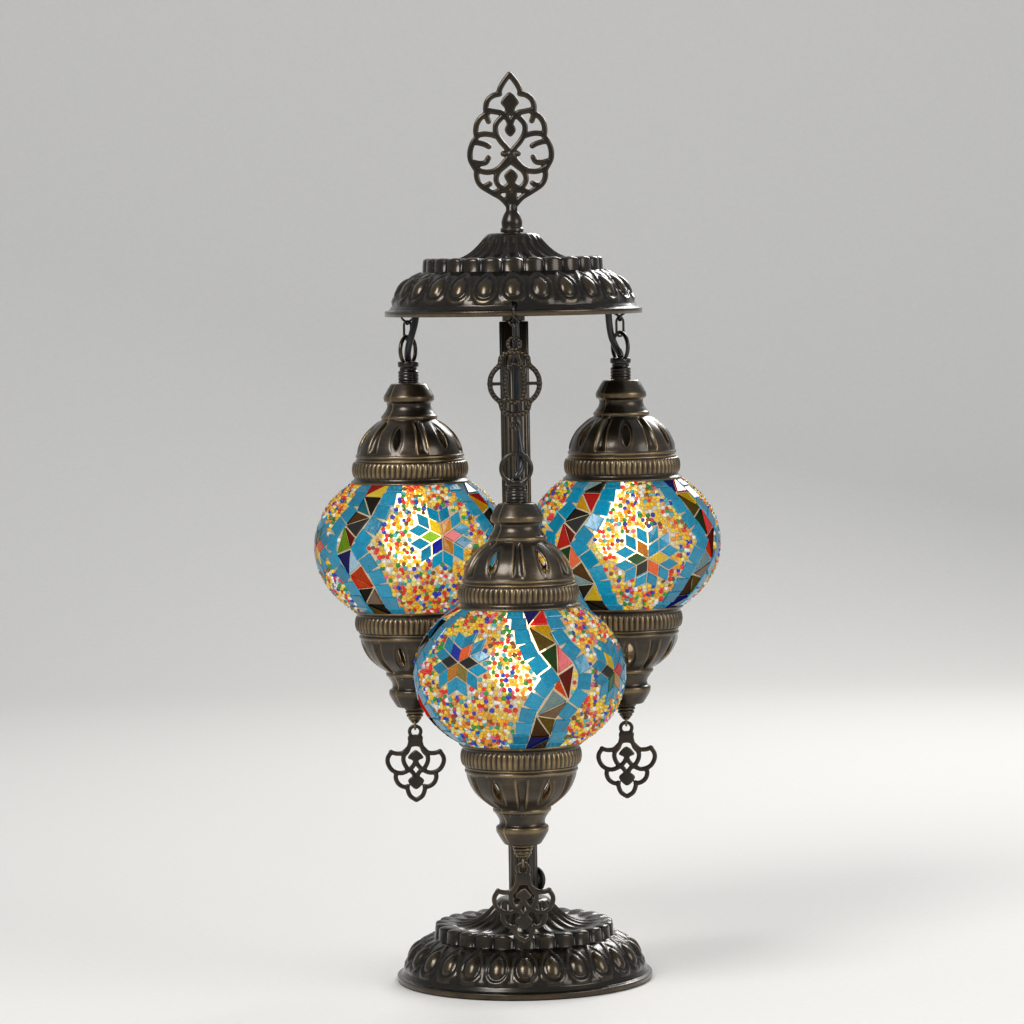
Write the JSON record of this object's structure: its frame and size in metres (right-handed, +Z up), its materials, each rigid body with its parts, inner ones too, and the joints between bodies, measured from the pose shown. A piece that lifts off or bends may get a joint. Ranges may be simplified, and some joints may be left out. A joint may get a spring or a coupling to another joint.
{
  "type": "mosaic glass table lamp",
  "caption": "Table lamp with a fluted bronze foot, post and canopy, from which bead-and-tile glass globes with pierced caps hang on short chains and glow from inside",
  "frame": {"origin": "middle of the felt pad's underside, on the axis of the post", "axes": "+Z up along the post, -Y to the front lamp, +X to the right seen from the front"},
  "size_m": [0.2482, 0.2343, 0.5478],
  "materials": {
    "bronze": "antique oxidised bronze plate, finely brushed, worn brown on raised parts",
    "blackened": "blackened bronze, satin",
    "steel": "zinc-plated steel",
    "iron": "raw cast iron",
    "felt": "black felt",
    "rubber": "black rubber",
    "cable": "black PVC sheath, satin",
    "holder": "black moulded lamp holder",
    "bulb": "frosted lit glass",
    "mosaic": "glass globe set with coloured tiles and seed beads, lit from inside"
  },
  "bodies": {
    "root": {"foot_dish": "bronze", "felt_pad": "felt", "foot_weight": "iron", "foot_nut": "steel", "post_tube": "blackened", "cord_bushing": "rubber", "canopy_neck": "blackened", "threaded_pipe": "steel", "canopy_dish": "bronze", "finial": "blackened", "front_lead_feed": "cable", "right_lead_feed": "cable", "left_lead_feed": "cable"},
    "front_upper_chain": {"front_rim_link": "blackened", "front_lead_drop": "cable"},
    "front_lower_chain": {"front_chain_link": "blackened", "front_ornament": "bronze", "front_tail_link": "blackened"},
    "front_lamp": {"front_hanger": "blackened", "front_nipple": "steel", "front_top_cap": "bronze", "front_top_spring_bar": "steel", "front_lamp_holder": "holder", "front_bulb": "bulb", "front_globe": "mosaic", "front_bottom_cap": "bronze", "front_bottom_spring_bar": "steel", "front_tie_rod": "steel", "front_acorn_nut": "bronze"},
    "front_charm": {"front_pendant": "blackened"},
    "right_upper_chain": {"right_rim_link": "blackened", "right_lead_drop": "cable"},
    "right_lower_chain": {"right_chain_link": "blackened"},
    "right_lamp": {"right_hanger": "blackened", "right_nipple": "steel", "right_top_cap": "bronze", "right_top_spring_bar": "steel", "right_lamp_holder": "holder", "right_bulb": "bulb", "right_globe": "mosaic", "right_bottom_cap": "bronze", "right_bottom_spring_bar": "steel", "right_tie_rod": "steel", "right_acorn_nut": "bronze"},
    "right_charm": {"right_pendant": "blackened"},
    "left_upper_chain": {"left_rim_link": "blackened", "left_lead_drop": "cable"},
    "left_lower_chain": {"left_chain_link": "blackened"},
    "left_lamp": {"left_hanger": "blackened", "left_nipple": "steel", "left_top_cap": "bronze", "left_top_spring_bar": "steel", "left_lamp_holder": "holder", "left_bulb": "bulb", "left_globe": "mosaic", "left_bottom_cap": "bronze", "left_bottom_spring_bar": "steel", "left_tie_rod": "steel", "left_acorn_nut": "bronze"},
    "left_charm": {"left_pendant": "blackened"}
  },
  "joints": [
    {"name": "front_swing", "type": "hinge", "parent": "root", "child": "front_upper_chain", "pos_m": [0, -0.075, 0.4089], "axis": [-1, 0, 0], "range_deg": [-0.4, 15]},
    {"name": "front_twist", "type": "hinge", "parent": "front_upper_chain", "child": "front_lower_chain", "pos_m": [0, -0.075, 0.3976], "axis": [0, 0, 1], "range_deg": [-10, 10]},
    {"name": "front_sway", "type": "hinge", "parent": "front_lower_chain", "child": "front_lamp", "pos_m": [0, -0.075, 0.32055], "axis": [0, -1, 0], "range_deg": [-4, 4]},
    {"name": "front_charm_swing", "type": "hinge", "parent": "front_lamp", "child": "front_charm", "pos_m": [0, -0.075, 0.07932], "axis": [0, 1, 0], "range_deg": [-35, 35]},
    {"name": "right_swing", "type": "hinge", "parent": "root", "child": "right_upper_chain", "pos_m": [0.06495, 0.0375, 0.4089], "axis": [0.5, -0.866, 0], "range_deg": [-1, 15]},
    {"name": "right_twist", "type": "hinge", "parent": "right_upper_chain", "child": "right_lower_chain", "pos_m": [0.06495, 0.0375, 0.3976], "axis": [0, 0, 1], "range_deg": [-10, 10]},
    {"name": "right_sway", "type": "hinge", "parent": "right_lower_chain", "child": "right_lamp", "pos_m": [0.06495, 0.0375, 0.38802], "axis": [0.866, 0.5, 0], "range_deg": [-4, 4]},
    {"name": "right_charm_swing", "type": "hinge", "parent": "right_lamp", "child": "right_charm", "pos_m": [0.06495, 0.0375, 0.14865], "axis": [0, 1, 0], "range_deg": [-35, 35]},
    {"name": "left_swing", "type": "hinge", "parent": "root", "child": "left_upper_chain", "pos_m": [-0.06495, 0.0375, 0.4089], "axis": [0.5, 0.866, 0], "range_deg": [-1, 15]},
    {"name": "left_twist", "type": "hinge", "parent": "left_upper_chain", "child": "left_lower_chain", "pos_m": [-0.06495, 0.0375, 0.3976], "axis": [0, 0, 1], "range_deg": [-10, 10]},
    {"name": "left_sway", "type": "hinge", "parent": "left_lower_chain", "child": "left_lamp", "pos_m": [-0.06495, 0.0375, 0.38802], "axis": [-0.866, 0.5, 0], "range_deg": [-4, 4]},
    {"name": "left_charm_swing", "type": "hinge", "parent": "left_lamp", "child": "left_charm", "pos_m": [-0.06495, 0.0375, 0.14865], "axis": [0, 1, 0], "range_deg": [-35, 35]}
  ]
}
